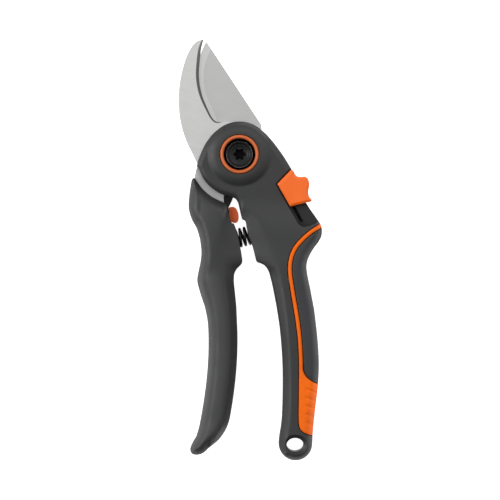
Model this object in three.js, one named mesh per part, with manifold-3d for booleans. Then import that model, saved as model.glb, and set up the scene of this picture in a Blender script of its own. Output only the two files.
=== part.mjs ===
// Bypass pruning shears, closed and locked, lying on their back.
//
// Units are millimetres. The pivot axis is the Z axis and z = 0 is the plane the shears rest on.
// +Y points towards the blade tips, +X towards the handle with the thumb lock, +Z to the front.
// The counter-blade belongs to the right handle, the cutting blade to the left handle.

import * as THREE from 'three';
import { mergeVertices } from 'three/addons/utils/BufferGeometryUtils.js';
import Module from 'manifold-3d';

const wasm = await Module();
wasm.setup();

// ---------------------------------------------------------------- driving dimensions

const thickness = 20; // front to back, through the handles
const gap = 0.3; // between pieces that touch
const shearPlane = thickness / 2; // the blades slide on each other here
const bladeThickness = 2.9;
const bladeRunningGap = 0.1;
const handleRounding = { right: 2, left: 1.4 }; // along the edges; more would fold over in the tight curves

const cuttingTop = shearPlane - bladeRunningGap / 2;
const counterBottom = shearPlane + bladeRunningGap / 2;
const cutting = { bottom: cuttingTop - bladeThickness, top: cuttingTop };
const counter = { bottom: counterBottom, top: counterBottom + bladeThickness };
const frontSplit = shearPlane + gap / 2; // lowest plane of the front shells
const backSplit = shearPlane - gap / 2; // highest plane of the back shells

// Everything on the pivot axis: radii, and heights above the resting plane.
const pivot = {
  shank: 4, shankBottom: 1.9, head: 6.8, headBottom: 14.3, headTop: 18.1, socket: 3.6, socketDepth: 2.2,
  ringInner: 8.3, ringOuter: 10.2, ringBottom: 15.8, ringTop: 18.7,
  bossRadius: 15.6, bossTopRadius: 10.9, bossTop: 18.2, coverFront: 17.2, coverBack: 17,
  bush: 5.5, bushPlay: 0.05, hub: 15.5, cuttingHub: 15,
  nutTop: 4.6, nutAcross: 12, nutBoreBottom: 1.6, armBore: 8.8,
};
const washers = {
  head_washer: { outer: 7, bottom: counter.top + gap, top: pivot.headBottom - gap },
  spring_washer: { outer: 7.6, bottom: 5.9, top: 6.7 },
  back_washer: { outer: 7.2, bottom: 4.9, top: 5.6 },
};
const cover = { top: 16.5, slopeStart: -22, slopeEnd: -44 }; // front of the casing round the pivot
const arm = { bottom: 2.2, rounding: 1.2 }; // the left handle's arm behind the pivot
const sleeveRadius = 22.8; // lower left edge of the casing round the pivot
const leftTopRadius = 26.5; // top edge of the left handle

const spring = { middle: [1.7, -43], tilt: 14, outer: 5.25, wire: 0.65, length: 19, turns: 8, pocket: 5.8 };
const seat = { radius: 5.1, plate: 1.2, peg: 3.2, pegLength: 4 };

const slideDirection = new THREE.Vector2(0.486, -0.874); // the way the lock slides to open
const lockTravel = 7.5;
const lock = {
  pinAt: [26.6, -24.4], pin: 0.7, pinTop: 17.4,
  barWidth: 4, barNose: 19.7, barTail: 3, barBottom: 7, barTop: 9.6, noseRoom: 3, tailRoom: 0.6,
};
const detent = {
  from: -6, to: 9, strip: 0.6, sideways: 3.6, bumpFrom: -3, bumpTo: 0,
  pocket: 2.6, pocketSideways: 3.4, room: 0.8,
};
const track = { floor: 14.6, sliderTop: 20.3 };

const hangHole = { at: [29.1, -152], acrossX: 8.8, acrossY: 7.2 };
const inlayDepth = 4.2; // depth of the soft inlays below the handle's faces
const stripeWidth = 1.9;
const buffer = { bottom: 3, top: thickness - 3 };
const rivet = { radius: 2, bottom: 5.5, top: 14.5 };
const screw = {
  head: 2.9, headBottom: 2.6, headTop: 4.8, shank: 1.5, tip: 14, drive: 1.2, driveDepth: 1.2,
};

// ---------------------------------------------------------------- outlines

const points = (list) => list.map(([x, y]) => new THREE.Vector2(x, y));
const curve = (list, steps) => new THREE.SplineCurve(points(list)).getPoints(steps);
const radians = THREE.MathUtils.degToRad;

function arc(x, y, radius, from, to, steps) {
  const sweep = new THREE.EllipseCurve(x, y, radius, radius, radians(from), radians(to), to < from);
  return sweep.getPoints(steps);
}

const rightHandle = [
  ...arc(0, 0, pivot.coverFront, 50, 130, 10),
  ...curve([[-14.6, 9.9], [-18, 5.2], [-20.9, -1.1], [-22.3, -5]], 6),
  ...arc(0, 0, sleeveRadius, 196, 262, 8),
  ...curve([[-0.9, -25], [-0.2, -27.6], [0.5, -30.8], [1.3, -33.6]], 4),
  ...points([[2.7, -34.4]]),
  ...curve([[3.3, -36.2], [4.9, -43.1], [6.9, -48.2], [8.6, -55.8]], 8),
  ...curve([[9.8, -56.5], [12.7, -57.9], [15.3, -61.4], [17.1, -68.2]], 6),
  ...curve([[19.2, -78.8], [21.1, -91.4], [22.4, -108], [22.6, -124], [22, -139.7], [20.8, -148.5]], 12),
  ...arc(29.3, -151.4, 8.8, 170, 362, 12),
  ...curve([[38.4, -146], [39.6, -134], [41.1, -121], [41.6, -110], [40.9, -96.5], [39.2, -81.5]], 12),
  ...curve([[36.9, -69.5], [35.3, -62], [35.1, -58.4], [35.8, -55], [38.4, -49.9], [41.4, -45.8]], 10),
  ...curve([[43.1, -42.4], [43, -38.9], [41.9, -35.2]], 4),
  ...points([[36.8, -28.4], [34.4, -24.6], [31, -16.2], [27.2, -7.6]]),
  ...points([[23.2, -1.1], [18.4, 5.5], [14.6, 10.3]]),
];

const leftHandle = [
  ...arc(0, 0, leftTopRadius, 208, 252, 6),
  ...points([[-6.6, -26.4], [-5.7, -28.4], [-4.4, -32], [-3.2, -35.6]]),
  ...curve([[-1.9, -39], [-0.6, -43.6], [0.5, -49.2], [1.5, -55.8]], 5),
  ...curve([[1, -57.6], [-1.3, -60], [-2.8, -62.8], [-2.9, -66.2]], 6),
  ...curve(
    [[-1.6, -80], [-1, -97.5], [-1.7, -114], [-4, -132.3], [-6.4, -142.6], [-10.5, -149], [-16.5, -154]],
    14,
  ),
  ...curve([[-18.9, -156.3], [-22, -157.4], [-25, -156.8], [-25.9, -154.6], [-24.4, -150.5]], 6),
  ...curve(
    [[-22.8, -148.1], [-21.5, -143.8], [-18.5, -127.1], [-17, -114.5], [-16.3, -101], [-16.7, -88]],
    10,
  ),
  ...curve([[-18.2, -80], [-20.7, -72.5], [-22.2, -66.2], [-21.6, -61.5], [-20.4, -56], [-20, -51]], 8),
  ...curve([[-20.7, -44.5], [-22.4, -38.9], [-25, -34], [-26.6, -28.4], [-26.4, -22], [-24.9, -14]], 8),
];

const counterBlade = [
  ...curve(
    [[-20, 60.2], [-24.1, 57.8], [-27.7, 51.5], [-30.3, 43], [-31.7, 34.6], [-31.9, 26.2], [-31.1, 17.9]],
    14,
  ),
  ...curve([[-28.3, 8], [-24.5, 0], [-21, -6.5], [-15, -13], [-7, -17]], 8),
  ...curve([[2, -20.5], [9, -27.5], [14.1, -36], [16.6, -44], [18.7, -54], [21, -66], [22.5, -77]], 8),
  ...arc(25.7, -78, 3.2, 180, 360, 5),
  ...curve([[28.3, -66], [26.6, -54], [24.9, -44], [22.5, -36], [18.6, -26], [16, -17]], 7),
  ...arc(0, 0, pivot.hub, -38, 85, 12),
  ...curve([[-4, 16.8], [-8, 17.1], [-11.8, 16.9], [-14.3, 19], [-16.8, 24], [-19.9, 32]], 9),
  ...curve([[-21.3, 41], [-20.8, 50], [-19.9, 57], [-18.8, 59.8]], 7),
];

const hubShoulder = { radius: 16.4, from: 42, to: -14 }; // the lock bar faces the end of this step
const cuttingBlade = [
  ...points([[-17.5, 59.2], [-16.4, 57.8], [11.4, 15.8]]),
  ...arc(0, 0, hubShoulder.radius, hubShoulder.from, hubShoulder.to, 8),
  ...arc(0, 0, pivot.cuttingHub, -16, -106, 9),
  ...curve([[-7.6, -18.4], [-8.3, -22], [-8.4, -27], [-11, -33], [-13.3, -38.5]], 6),
  ...curve([[-13.4, -46], [-12.8, -56], [-11, -70], [-10.6, -83]], 5),
  ...arc(-13, -84, 2.4, 0, -180, 4),
  ...curve([[-16.4, -70], [-18, -58], [-18, -50], [-19, -42], [-21.8, -35], [-24.2, -28], [-24.2, -20]], 8),
  ...curve([[-23.5, -11.5], [-22.4, -6.8], [-19.5, 0], [-16.6, 6], [-15.4, 12], [-15.8, 17.4]], 7),
  ...curve([[-17.8, 22], [-21.9, 32.5], [-22.8, 40], [-22.4, 46.5], [-20.9, 51.6], [-18.6, 57]], 12),
];

const backArm = [
  ...arc(0, 0, pivot.coverBack, -98, 180, 24),
  ...points([[-20, -4], [-22.2, -8], [-23.4, -12.5], [-24, -20]]),
  ...points([[-23, -31], [-9, -31], [-6.1, -27.4], [-4.9, -25.4], [-3.4, -22.6]]),
];

const stopBuffer = curve(
  [[-6.2, -28.7], [-4.7, -27.6], [-2.5, -27.9], [-1.1, -29.9], [-0.5, -33], [-0.9, -35.2], [-2.6, -35.8],
    [-4.6, -35], [-5.7, -32]],
  16,
);

const slider = points([
  [19.8, -15.5], [27, -8], [28, -9], [29.5, -11], [31.5, -11.9], [34, -11.8], [35.8, -13], [36.6, -16],
  [35.9, -19], [36.3, -22], [38, -24.2], [35, -25.3], [26.5, -27.4],
]);

const trackRecess = points([
  [19.1, -15.3], [27, -7], [46, -7], [46, -33.2], [42.4, -34.4], [39, -36.4], [34, -37.4], [31.2, -36.4],
]);

const stripeCentre = [
  [44.6, -36.2], [42, -37.7], [37, -41], [33, -44.5], [29.5, -48.5], [27.5, -52.5], [26.5, -57], [26.4, -62],
  [27.5, -70], [30, -85], [31.3, -95], [32, -106], [32.2, -122],
];
const padOuter = 48; // beyond the handle's outer edge
const padTop = [[32.2, -110.5], [33.2, -113], [34.5, -116], [37, -118.2], [40, -119.9], [padOuter, -121.2]];
const padBottom = [
  [padOuter, -148.6], [38.4, -147.2], [35.5, -146.2], [33, -145], [31.4, -143], [31, -139.5], [31.3, -126],
];
const insertCorner = [[33.6, -112], [35, -115.5], [37.2, -117.8], [40.2, -119.5], [padOuter, -120.8]];

function offsetCurve(list, distance, steps) {
  const line = new THREE.SplineCurve(points(list));
  return Array.from({ length: steps + 1 }, (_, i) => {
    const along = line.getTangent(i / steps);
    return line.getPoint(i / steps).add(new THREE.Vector2(-along.y, along.x).multiplyScalar(distance));
  });
}

const stripeSteps = 22;
const stripeBand = (halfWidth) => [
  ...offsetCurve(stripeCentre, -halfWidth, stripeSteps),
  ...offsetCurve(stripeCentre, halfWidth, stripeSteps).reverse(),
];
const padRegion = (growth) => [
  ...offsetCurve(padTop, growth, 8),
  ...offsetCurve(padBottom, growth, 12),
];
const insertRegion = (inset) => [
  ...offsetCurve(stripeCentre.slice(0, -1), stripeWidth / 2 + gap + inset, stripeSteps),
  ...offsetCurve(insertCorner, inset, 8),
  ...points([[padOuter, -36 - inset]]),
];

// ---------------------------------------------------------------- solids

function solid(geometry) {
  const bare = geometry.clone();
  for (const name of ['normal', 'uv']) bare.deleteAttribute(name);
  const merged = mergeVertices(bare, 1e-4);
  const vertProperties = new Float32Array(merged.attributes.position.array);
  const triVerts = new Uint32Array(merged.index.array);
  const made = new wasm.Manifold(new wasm.Mesh({ numProp: 3, vertProperties, triVerts }));
  if (made.volume() > 0) return made;
  return new wasm.Manifold(new wasm.Mesh({ numProp: 3, vertProperties, triVerts: triVerts.reverse() }));
}

function plate(outline, bottom, top, rounding = 0) {
  const geometry = new THREE.ExtrudeGeometry(new THREE.Shape(outline), {
    depth: top - bottom - 2 * rounding,
    bevelEnabled: rounding > 0,
    bevelThickness: rounding,
    bevelSize: rounding,
    bevelOffset: -rounding,
    bevelSegments: 3,
  });
  return solid(geometry.translate(0, 0, bottom + rounding));
}

function rod(x, y, radius, bottom, top, sides = 32) {
  const geometry = new THREE.CylinderGeometry(radius, radius, top - bottom, sides);
  return solid(geometry.rotateX(Math.PI / 2).translate(x, y, (bottom + top) / 2));
}

function cone(bottomRadius, topRadius, bottom, top) {
  const geometry = new THREE.CylinderGeometry(topRadius, bottomRadius, top - bottom, 48);
  return solid(geometry.rotateX(Math.PI / 2).translate(0, 0, (bottom + top) / 2));
}

function box(low, high) {
  const size = high.map((value, i) => value - low[i]);
  return solid(new THREE.BoxGeometry(...size).translate(...low.map((value, i) => value + size[i] / 2)));
}

// A bar along the lock's slide direction, from one distance to another past the lock pin.
function lockBarShape(from, to, width, bottom, top, sideways = 0) {
  const across = new THREE.Vector2(-slideDirection.y, slideDirection.x);
  const start = new THREE.Vector2(...lock.pinAt);
  const corner = (along, side) => start.clone()
    .addScaledVector(slideDirection, along)
    .addScaledVector(across, side + sideways);
  const half = width / 2;
  return plate([corner(from, -half), corner(to, -half), corner(to, half), corner(from, half)], bottom, top);
}

// Places geometry made along +Y onto the spring's axis, measured from its middle.
function onSpringAxis(geometry) {
  const [x, y] = spring.middle;
  return geometry.rotateZ(radians(spring.tilt - 90)).translate(x, y, shearPlane);
}

function springRod(radius, from, to, sides = 32) {
  const geometry = new THREE.CylinderGeometry(radius, radius, to - from, sides);
  return solid(onSpringAxis(geometry.translate(0, (from + to) / 2, 0)));
}

const join = (first, ...rest) => rest.reduce((whole, piece) => whole.add(piece), first);
const cut = (first, ...rest) => rest.reduce((whole, piece) => whole.subtract(piece), first);

// ---------------------------------------------------------------- shared cut-outs

const far = 300;
const inFront = (z) => box([-far, -far, z], [far, far, z + far]);
const behind = (z) => box([-far, -far, z - far], [far, far, z]);

const pocketEnd = spring.length / 2 + gap + seat.plate + gap;
const springPocket = springRod(spring.pocket, -pocketEnd, pocketEnd);

const rivets = {
  counter_blade_rivet_upper: [14, -27.5],
  counter_blade_rivet_lower: [24.6, -66],
  cutting_blade_rivet_upper: [-17, -29.5],
  cutting_blade_rivet_lower: [-13.8, -66],
};
const screws = {
  right_screw_upper: [30.3, -40.8],
  right_screw_middle: [25.2, -90],
  right_screw_lower: [26.4, -136],
  left_screw_upper: [-6, -58.5],
  left_screw_middle: [-8.8, -100],
  left_screw_lower: [-13, -139],
};

const rivetBores = Object.values(rivets).map(
  ([x, y]) => rod(x, y, rivet.radius + gap, rivet.bottom - gap, rivet.top + gap, 24),
);
const screwBores = Object.values(screws).map(([x, y]) => join(
  rod(x, y, screw.head + gap, -1, screw.headTop + gap, 24),
  rod(x, y, screw.shank + gap, 0, screw.tip + gap, 16),
));

function hangBore() {
  const bore = new THREE.CylinderGeometry(0.5, 0.5, thickness + 2, 28).rotateX(Math.PI / 2);
  return solid(bore.scale(hangHole.acrossX, hangHole.acrossY, 1).translate(...hangHole.at, shearPlane));
}

// The plates' outlines grown by a gap, so that the casings clear them.
function grown(outline, bottom, top) {
  const bevel = { bevelEnabled: true, bevelThickness: 0.01, bevelSize: gap, bevelSegments: 1 };
  const geometry = new THREE.ExtrudeGeometry(new THREE.Shape(outline), { depth: top - bottom, ...bevel });
  return solid(geometry.translate(0, 0, bottom));
}

// ---------------------------------------------------------------- blades and pivot

function counterBladeSolid() {
  const neck = pivot.shank + gap;
  const square = box([-neck, -neck, 0], [neck, neck, thickness]); // keeps the bolt from turning
  return cut(plate(counterBlade, counter.bottom, counter.top), square, ...rivetBores);
}

function cuttingBladeSolid() {
  const bore = rod(0, 0, pivot.bush + gap, 0, thickness, 48);
  return cut(plate(cuttingBlade, cutting.bottom, cutting.top), bore, ...rivetBores);
}

function pivotBoltSolid() {
  const socket = rod(0, 0, pivot.socket, pivot.headTop - pivot.socketDepth, pivot.headTop + 1, 6);
  const head = cut(rod(0, 0, pivot.head, pivot.headBottom, pivot.headTop, 48), socket);
  const neck = box([-pivot.shank, -pivot.shank, counter.bottom], [pivot.shank, pivot.shank, counter.top]);
  return join(head, rod(0, 0, pivot.shank, pivot.shankBottom, pivot.headBottom + 1, 48), neck);
}

function washer(inner, outer, bottom, top) {
  return cut(rod(0, 0, outer, bottom, top, 40), rod(0, 0, inner, bottom - 1, top + 1, 40));
}

const pivotRing = washer(pivot.ringInner, pivot.ringOuter, pivot.ringBottom, pivot.ringTop);
const pivotBush = washer(pivot.shank + pivot.bushPlay, pivot.bush, cutting.bottom, cutting.top);

function pivotNutSolid() {
  const corner = pivot.nutAcross / 2 / Math.cos(Math.PI / 6);
  const hexagon = rod(0, 0, corner, 0, pivot.nutTop, 6);
  return cut(hexagon, rod(0, 0, pivot.shank + gap, pivot.nutBoreBottom, pivot.nutTop + 1, 32));
}

function rivetSolid([x, y]) {
  return rod(x, y, rivet.radius, rivet.bottom, rivet.top, 20);
}

function screwSolid([x, y]) {
  const drive = rod(x, y, screw.drive, screw.headBottom - 1, screw.headBottom + screw.driveDepth, 6);
  const head = rod(x, y, screw.head, screw.headBottom, screw.headTop, 24);
  return join(cut(head, drive), rod(x, y, screw.shank, screw.headTop - 0.5, screw.tip, 16));
}

// ---------------------------------------------------------------- right handle

const handleBody = (outline, rounding) => plate(outline, 0, thickness, rounding);
const rightBody = handleBody(rightHandle, handleRounding.right);
const bothFaces = (outline, depth) => join(
  plate(outline, thickness - depth, thickness + 1),
  plate(outline, -1, depth),
);

function slopeOverPivot() {
  const profile = points([
    [far, cover.top], [cover.slopeStart, cover.top], [cover.slopeEnd, thickness + 1], [far, thickness + 1],
  ]);
  const geometry = new THREE.ExtrudeGeometry(new THREE.Shape(profile), { depth: far, bevelEnabled: false });
  return solid(geometry.rotateX(Math.PI / 2).rotateZ(Math.PI / 2).translate(-far / 2, 0, 0));
}

const hole = hangBore();
const inlayPocket = join(
  bothFaces(stripeBand(stripeWidth / 2 + gap), inlayDepth + gap),
  bothFaces(padRegion(gap), inlayDepth + gap),
  bothFaces(insertRegion(0), inlayDepth + gap),
);

function rightFrontShell() {
  const boss = cone(pivot.bossRadius, pivot.bossTopRadius, cover.top - 1, pivot.bossTop);
  const shell = join(cut(rightBody, behind(frontSplit), slopeOverPivot()), boss);
  const slot = lockBarShape(-2.5, 13, 2 * (lock.pin + gap), 0, thickness);
  return cut(
    shell,
    grown(counterBlade, frontSplit - 1, counter.top + gap),
    rod(0, 0, pivot.head + 2 * gap, 0, thickness, 48),
    rod(0, 0, pivot.ringOuter + gap, pivot.ringBottom - gap, thickness, 48),
    plate(trackRecess, track.floor, thickness + 1),
    slot, inlayPocket, springPocket, hole, ...rivetBores, ...screwBores,
  );
}

function rightBackShell() {
  // The left handle's arm and cutting blade swing through this room.
  const sweptByLeftHandle = join(
    rod(0, 0, 18.6, -1, thickness, 64),
    box([-far, -27, -1], [0.6, far, thickness]),
    box([-far, -2, -1], [far, far, thickness]),
  );
  const channelEnd = lock.barTail + lockTravel + lock.tailRoom;
  const channelFloor = lock.barBottom - gap;
  const channel = lockBarShape(
    -lock.barNose - lock.noseRoom, channelEnd, lock.barWidth + 2 * gap, channelFloor, thickness,
  );
  const detentPocket = lockBarShape(
    detent.from - detent.room, detent.to + detent.room, detent.pocket,
    channelFloor, thickness, detent.pocketSideways,
  );
  return cut(
    cut(rightBody, inFront(backSplit)),
    sweptByLeftHandle, channel, detentPocket, inlayPocket, springPocket, hole, ...rivetBores, ...screwBores,
  );
}

const frontFace = (depth) => cut(rightBody, behind(thickness - depth), slopeOverPivot());
const backFace = (depth) => cut(rightBody, inFront(depth));

function inlay(outlines, face) {
  const regions = join(...outlines.map((outline) => plate(outline, -1, thickness + 1)));
  return cut(face(inlayDepth).intersect(regions), hole);
}

const trimOutlines = [stripeBand(stripeWidth / 2), padRegion(0)];
const insertOutlines = [insertRegion(gap)];

// ---------------------------------------------------------------- left handle

const leftBody = handleBody(leftHandle, handleRounding.left);
const bufferSocket = grown(stopBuffer, buffer.bottom - gap, buffer.top + gap);

function leftFrontShell() {
  return cut(leftBody, behind(frontSplit), springPocket, bufferSocket, ...rivetBores, ...screwBores);
}

function leftBackShell() {
  const pivotArm = plate(backArm, arm.bottom, cutting.bottom - gap, arm.rounding);
  return cut(
    join(cut(leftBody, inFront(backSplit)), pivotArm),
    grown(cuttingBlade, cutting.bottom - gap, thickness),
    rod(0, 0, pivot.armBore, -1, thickness, 48),
    springPocket, bufferSocket, ...rivetBores, ...screwBores,
  );
}

// ---------------------------------------------------------------- springs and lock

class Helix extends THREE.Curve {
  getPoint(t, target = new THREE.Vector3()) {
    const radius = spring.outer - spring.wire;
    const angle = 2 * Math.PI * spring.turns * t;
    const rise = (t - 0.5) * (spring.length - 2 * spring.wire);
    return target.set(radius * Math.cos(angle), rise, radius * Math.sin(angle));
  }
}

function returnSpring() {
  const section = new THREE.Shape(arc(0, 0, spring.wire, 0, 300, 5)); // six-sided wire
  const options = { steps: spring.turns * 12, extrudePath: new Helix(), bevelEnabled: false };
  return solid(onSpringAxis(new THREE.ExtrudeGeometry(section, options)));
}

function springSeat(side) {
  const face = spring.length / 2 + gap;
  const [plateFrom, plateTo] = [face * side, (face + seat.plate) * side].sort((a, b) => a - b);
  const [pegFrom, pegTo] = [(face - seat.pegLength) * side, (face + 0.5) * side].sort((a, b) => a - b);
  return join(springRod(seat.radius, plateFrom, plateTo), springRod(seat.peg, pegFrom, pegTo, 24));
}

function lockSlider() {
  const pinHole = rod(...lock.pinAt, lock.pin + gap, 0, 17.8, 16);
  return cut(plate(slider, track.floor + gap, track.sliderTop, 0.8), pinHole);
}

function lockBar() {
  const bar = lockBarShape(-lock.barNose, lock.barTail, lock.barWidth, lock.barBottom, lock.barTop);
  return cut(bar, rod(...lock.pinAt, lock.pin + gap, 0, thickness, 16));
}

const lockPin = rod(...lock.pinAt, lock.pin, lock.barBottom + 0.2, lock.pinTop, 12);

function detentSpring() {
  const { barBottom, barTop } = lock;
  const { from, to, strip, sideways, bumpFrom, bumpTo } = detent;
  return join(
    lockBarShape(from, to, strip, barBottom, barTop, sideways),
    lockBarShape(bumpFrom, bumpTo, 2 * strip, barBottom, barTop, sideways - strip),
  );
}

// ---------------------------------------------------------------- assembly

function look(color, roughness, metalness = 0) {
  return new THREE.MeshStandardMaterial({ color, roughness, metalness });
}
const looks = {
  blade: look(0xc4c4c0, 0.35, 1),
  edge: look(0xd6d6d2, 0.3, 1),
  casing: look(0x3e3f41, 0.6),
  soft: look(0x38393b, 0.85),
  orange: look(0xe86a24, 0.55),
  blackSteel: look(0x1f1f20, 0.4, 0.8),
  steel: look(0x9a9a9a, 0.35, 1),
  bronze: look(0xa07a45, 0.4, 1),
  nylon: look(0x2b2b2c, 0.6),
};

const group = new THREE.Group();
const rightGroup = new THREE.Group();
const leftGroup = new THREE.Group();
const lockGroup = new THREE.Group();
group.add(rightGroup, leftGroup, lockGroup);

function addPart(parent, name, made, material) {
  const { vertProperties, triVerts } = made.getMesh();
  const geometry = new THREE.BufferGeometry();
  geometry.setAttribute('position', new THREE.BufferAttribute(vertProperties, 3));
  geometry.setIndex(new THREE.BufferAttribute(triVerts, 1));
  geometry.computeVertexNormals();
  const mesh = new THREE.Mesh(geometry, material);
  mesh.name = name;
  parent.add(mesh);
}

addPart(rightGroup, 'counter_blade', counterBladeSolid(), looks.edge);
addPart(rightGroup, 'right_front_shell', rightFrontShell(), looks.casing);
addPart(rightGroup, 'right_back_shell', rightBackShell(), looks.casing);
addPart(rightGroup, 'grip_insert_front', inlay(insertOutlines, frontFace), looks.soft);
addPart(rightGroup, 'grip_insert_back', inlay(insertOutlines, backFace), looks.soft);
addPart(rightGroup, 'grip_trim_front', inlay(trimOutlines, frontFace), looks.orange);
addPart(rightGroup, 'grip_trim_back', inlay(trimOutlines, backFace), looks.orange);
addPart(rightGroup, 'pivot_bolt', pivotBoltSolid(), looks.blackSteel);
addPart(rightGroup, 'pivot_ring', pivotRing, looks.orange);
for (const [name, { outer, bottom, top }] of Object.entries(washers)) {
  addPart(rightGroup, name, washer(pivot.shank + gap, outer, bottom, top), looks.steel);
}
addPart(rightGroup, 'pivot_nut', pivotNutSolid(), looks.blackSteel);
addPart(rightGroup, 'right_spring_seat', springSeat(1), looks.nylon);
addPart(rightGroup, 'lock_detent_spring', detentSpring(), looks.steel);
addPart(rightGroup, 'return_spring', returnSpring(), looks.blackSteel);
addPart(leftGroup, 'cutting_blade', cuttingBladeSolid(), looks.blade);
addPart(leftGroup, 'left_front_shell', leftFrontShell(), looks.casing);
addPart(leftGroup, 'left_back_shell', leftBackShell(), looks.casing);
addPart(leftGroup, 'stop_buffer', plate(stopBuffer, buffer.bottom, buffer.top, 0.6), looks.orange);
addPart(leftGroup, 'left_spring_seat', springSeat(-1), looks.nylon);
addPart(leftGroup, 'pivot_bush', pivotBush, looks.bronze);
for (const [name, at] of Object.entries(rivets)) {
  addPart(name.startsWith('counter') ? rightGroup : leftGroup, name, rivetSolid(at), looks.steel);
}
for (const [name, at] of Object.entries(screws)) {
  addPart(name.startsWith('right') ? rightGroup : leftGroup, name, screwSolid(at), looks.blackSteel);
}
addPart(lockGroup, 'lock_slider', lockSlider(), looks.orange);
addPart(lockGroup, 'lock_bar', lockBar(), looks.steel);
addPart(lockGroup, 'lock_pin', lockPin, looks.steel);

export default group;
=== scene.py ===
# Bypass pruning shears, lying on their back, closed and locked, seen from straight above.
#
# Shapes are worked out in millimetres in the model's own frame and turned into metres once, in piece().
# The pivot axis is the Z axis, z = 0 is the plane the shears rest on, +Y points to the blade tips.

import math

import bmesh
import bpy
import numpy as np
from mathutils import Matrix, Vector


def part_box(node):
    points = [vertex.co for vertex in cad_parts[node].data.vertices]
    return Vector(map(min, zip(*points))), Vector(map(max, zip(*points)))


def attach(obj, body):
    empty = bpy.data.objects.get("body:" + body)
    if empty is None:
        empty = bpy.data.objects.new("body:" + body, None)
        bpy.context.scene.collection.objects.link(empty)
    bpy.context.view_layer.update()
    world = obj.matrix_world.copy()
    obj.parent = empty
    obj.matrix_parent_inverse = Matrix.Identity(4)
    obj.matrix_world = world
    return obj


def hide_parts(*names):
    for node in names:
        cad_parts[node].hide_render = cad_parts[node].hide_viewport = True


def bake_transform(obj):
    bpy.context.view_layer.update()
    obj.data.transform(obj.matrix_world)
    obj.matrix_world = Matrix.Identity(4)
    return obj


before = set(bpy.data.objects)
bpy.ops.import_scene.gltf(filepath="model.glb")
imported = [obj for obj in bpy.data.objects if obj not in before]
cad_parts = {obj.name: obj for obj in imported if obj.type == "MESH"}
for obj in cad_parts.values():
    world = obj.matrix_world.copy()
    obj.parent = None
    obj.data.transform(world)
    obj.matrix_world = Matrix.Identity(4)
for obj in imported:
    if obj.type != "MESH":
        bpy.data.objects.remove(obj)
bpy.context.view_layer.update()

MM = 0.001


def node_box(node):
    """A CAD node's lowest and highest corners, in millimetres."""
    return [tuple(c / MM for c in corner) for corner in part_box(node)]


# ---- sizes in millimetres; the frame gives those that the two models share

COUNTER_BACK, COUNTER_FRONT = (corner[2] for corner in node_box("counter_blade"))
CUTTING_BACK, CUTTING_FRONT = (corner[2] for corner in node_box("cutting_blade"))
SHEAR_PLANE = (COUNTER_BACK + CUTTING_FRONT) / 2
THICKNESS = 2 * SHEAR_PLANE
FRONT_SPLIT = node_box("left_front_shell")[0][2]
BACK_SPLIT = node_box("right_back_shell")[1][2]
SLIDER_BACK, SLIDER_TOP = (corner[2] for corner in node_box("lock_slider"))
SLIDER_CLEARANCE = 0.3
TRACK_FLOOR = SLIDER_BACK - SLIDER_CLEARANCE
ARM_BACK = 2.2  # the flat back of the left handle's arm round the pivot
INLAY_DEPTH = 6  # how deep the orange trim and the soft insert reach into the handle
INLAY_GROOVE = 0.45  # the dark groove on each side of the trim
INSERT_GAP = 0.25
STRIPE_HALF = 0.95  # half the stripe's width
BUFFER_BACK, BUFFER_TOP = 3, 14.6
BOLT_SHANK = 4
HANG_HOLE = (29.1, -152, 4.4, 3.6)  # x, y and its two half widths
PAST = 5  # how far a cutter reaches past both faces of the shears

SCREWS = {
    "right": [(30.3, -40.8), (25.2, -90), (26.4, -136)],
    "left": [(-6, -58.5), (-8.8, -100), (-13, -139)],
}
SCREW_HEAD, SCREW_SHANK = 2.9, 1.5
SCREW_HEAD_TOP = 4.6
SCREW_BORE_FLOOR = 4.8

spring_low, spring_high = node_box("return_spring")
SPRING_MIDDLE = Vector((sum(p) / 2 for p in zip(spring_low, spring_high)))
SPRING_TILT = math.radians(14)
SPRING_AXIS = Vector((math.cos(SPRING_TILT), math.sin(SPRING_TILT), 0))
UP = Vector((0, 0, 1))
SPRING_RADIUS = 4.57
WIRE_RADIUS = 0.66
SPRING_LENGTH = 19
POCKET_RADIUS = 5.4
SLIDE = Vector((0.486, -0.874, 0))  # the way the lock slides to open
PIN_AT = Vector((26.6, -24.4, 0))  # the pin between slider and lock bar


# ---- curves and meshes


def curve(points, spacing=0.8):
    """A smooth line through the points (centripetal Catmull-Rom), as an array of x, y rows."""
    p = np.array(points, float)
    p = np.vstack([2 * p[0] - p[1], p, 2 * p[-1] - p[-2]])
    rows = []
    for a, b, c, d in zip(p[:-3], p[1:-2], p[2:-1], p[3:]):
        ta, tb, tc = np.cumsum([max(np.linalg.norm(v), 1e-6) ** 0.5 for v in (b - a, c - b, d - c)])
        steps = max(2, int(np.linalg.norm(c - b) / spacing))
        t = ta + (tb - ta) * np.arange(steps)[:, None] / steps
        ab = a + (b - a) * t / ta
        bc = b + (c - b) * (t - ta) / (tb - ta)
        cd = c + (d - c) * (t - tb) / (tc - tb)
        abc = ab + (bc - ab) * t / tb
        bcd = bc + (cd - bc) * (t - ta) / (tc - ta)
        rows.append(abc + (bcd - abc) * (t - ta) / (tb - ta))
    return np.vstack([*rows, p[-2]])


def arc(x, y, radius, start, end, spacing=0.8):
    steps = max(3, int(abs(math.radians(end - start)) * radius / spacing))
    angle = np.radians(np.linspace(start, end, steps + 1))
    return np.column_stack([x + radius * np.cos(angle), y + radius * np.sin(angle)])


def straight(points, spacing=0.8):
    """Straight stretches from point to point, with rows between them."""
    p = np.array(points, float)
    rows = [
        a + (b - a) * np.linspace(0, 1, max(2, int(np.linalg.norm(b - a) / spacing)))[:, None]
        for a, b in zip(p[:-1], p[1:])
    ]
    return np.vstack(rows)


def outline(*parts):
    """One closed outline from its stretches, with points that nearly coincide left out."""
    closest = 0.08
    p = np.vstack(parts)
    return p[np.linalg.norm(p - np.roll(p, 1, axis=0), axis=1) > closest]


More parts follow.
